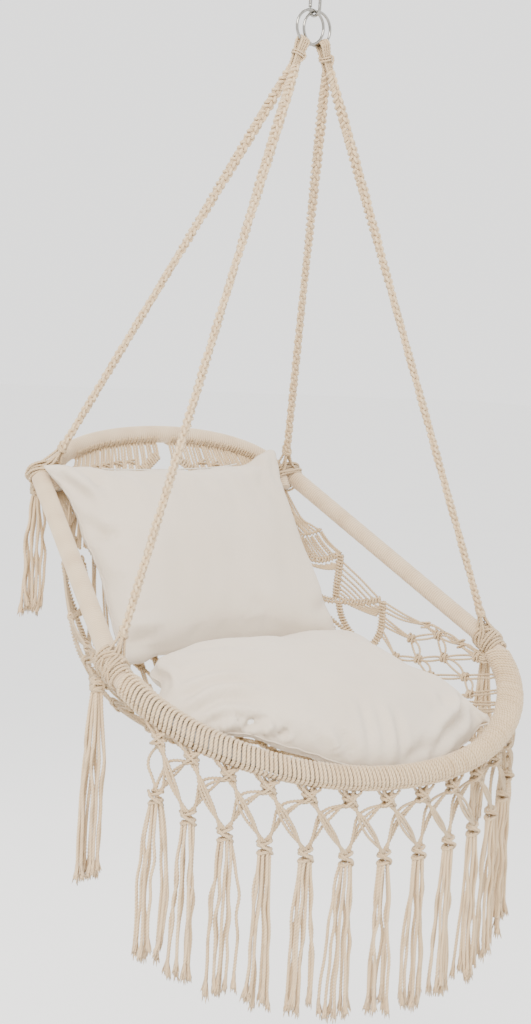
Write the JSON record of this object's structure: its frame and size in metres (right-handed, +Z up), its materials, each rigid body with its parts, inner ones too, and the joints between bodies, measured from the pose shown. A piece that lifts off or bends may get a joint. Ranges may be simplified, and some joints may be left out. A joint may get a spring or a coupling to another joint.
{
  "type": "hammock chair",
  "caption": "Hanging hammock chair: a cord-wrapped steel frame on rope slings, with a knotted net seat and back, loose seat and back cushions, a crossed-cord fringe and tassels.",
  "frame": {"origin": "the inside of the snap hook's top bend, where the chair hangs", "axes": "+Z up, -Y the way the sitter faces, +X to the sitter's left (the viewer's right from the front); the chair hangs at rest"},
  "size_m": [0.705, 0.6145, 1.3469],
  "materials": {
    "chrome": "bright plated",
    "zinc": "zinc plated, dull",
    "steel_tube": "bare drawn tube, under the cord wrap",
    "plastic": "matte",
    "cotton_cord": "twisted natural cotton cord",
    "wrap_cord": "fine cotton cord wound close",
    "cushion_cloth": "plain woven canvas",
    "fibre_fill": "fibre-filled inner cushion"
  },
  "bodies": {
    "hook": {"snap_hook": "chrome", "gate_pin": "zinc"},
    "gate": {"hook_gate": "chrome", "gate_spring": "zinc"},
    "ring_left": {"ring_left": "chrome"},
    "ring_right": {"ring_right": "chrome"},
    "seat_cushion": {"seat_cushion_cover": "cushion_cloth", "seat_cushion_insert": "fibre_fill", "seat_cushion_zip": "plastic"},
    "back_cushion": {"back_cushion_cover": "cushion_cloth", "back_cushion_insert": "fibre_fill", "back_cushion_zip": "plastic"},
    "front_tassel_left": {"front_tassel_left": "cotton_cord"},
    "front_tassel_right": {"front_tassel_right": "cotton_cord"},
    "rear_tassel_left": {"rear_tassel_left": "cotton_cord"},
    "rear_tassel_right": {"rear_tassel_right": "cotton_cord"},
    "chair": {"sling_eye_left": "cotton_cord", "whipping_left": "cotton_cord", "sling_eye_right": "cotton_cord", "whipping_right": "cotton_cord", "rope_front_left": "cotton_cord", "rope_rear_left": "cotton_cord", "rope_front_right": "cotton_cord", "rope_rear_right": "cotton_cord", "front_hoop": "steel_tube", "back_arch": "steel_tube", "side_bar_left": "steel_tube", "joint_spigot_left": "steel_tube", "bar_end_plug_left": "plastic", "arch_end_plug_left": "plastic", "side_bar_right": "steel_tube", "joint_spigot_right": "steel_tube", "bar_end_plug_right": "plastic", "arch_end_plug_right": "plastic", "joint_screw_left_front": "zinc", "joint_screw_left_rear": "zinc", "crossing_bolt_left": "zinc", "crossing_nut_left": "zinc", "joint_screw_right_front": "zinc", "joint_screw_right_rear": "zinc", "crossing_bolt_right": "zinc", "crossing_nut_right": "zinc", "hoop_hitches": "cotton_cord", "arch_wrap": "wrap_cord", "bar_wrap_left": "wrap_cord", "bar_wrap_right": "wrap_cord", "front_lashing_left": "cotton_cord", "rear_lashing_left": "cotton_cord", "front_lashing_right": "cotton_cord", "rear_lashing_right": "cotton_cord", "back_net": "cotton_cord", "seat_net": "cotton_cord", "fringe": "cotton_cord"}
  },
  "joints": [
    {"name": "gate_swing", "type": "hinge", "parent": "hook", "child": "gate", "pos_m": [0, 0.01025, -0.03], "axis": [1, 0, 0], "range_deg": [0, 28], "stiffness_Nm_per_rad": 0.03, "springref_deg": -17.19},
    {"name": "left_ring_swing", "type": "hinge", "parent": "hook", "child": "ring_left", "pos_m": [0, -0.0023, -0.04325], "axis": [0, 1, 0], "range_deg": [-20, 20]},
    {"name": "right_ring_swing", "type": "hinge", "parent": "hook", "child": "ring_right", "pos_m": [0, 0.0023, -0.04325], "axis": [0, 1, 0], "range_deg": [-20, 20]},
    {"name": "chair_swing", "type": "hinge", "parent": "ring_left", "child": "chair", "pos_m": [0, 0, -0.07993], "axis": [1, 0, 0], "range_deg": [-25, 25]},
    {"name": "seat_cushion_lift", "type": "slide", "parent": "chair", "child": "seat_cushion", "axis": [0, -0.1, 0.995], "range_m": [0, 0.012]},
    {"name": "back_cushion_lift", "type": "slide", "parent": "seat_cushion", "child": "back_cushion", "axis": [0, -0.1, 0.995], "range_m": [0, 0.012]},
    {"name": "front_tassel_left_swing", "type": "hinge", "parent": "chair", "child": "front_tassel_left", "pos_m": [-0.34152, -0.06892, -0.92606], "axis": [1, 0, 0], "range_deg": [-25, 25]},
    {"name": "front_tassel_right_swing", "type": "hinge", "parent": "chair", "child": "front_tassel_right", "pos_m": [0.34152, -0.06892, -0.92606], "axis": [1, 0, 0], "range_deg": [-25, 25]},
    {"name": "rear_tassel_left_swing", "type": "hinge", "parent": "chair", "child": "rear_tassel_left", "pos_m": [-0.21735, 0.2965, -0.71556], "axis": [1, 0, 0], "range_deg": [-25, 25]},
    {"name": "rear_tassel_right_swing", "type": "hinge", "parent": "chair", "child": "rear_tassel_right", "pos_m": [0.21735, 0.2965, -0.71556], "axis": [1, 0, 0], "range_deg": [-25, 25]}
  ],
  "couplings": [
    {"joint": "right_ring_swing", "follows": "left_ring_swing", "ratio": 1}
  ]
}
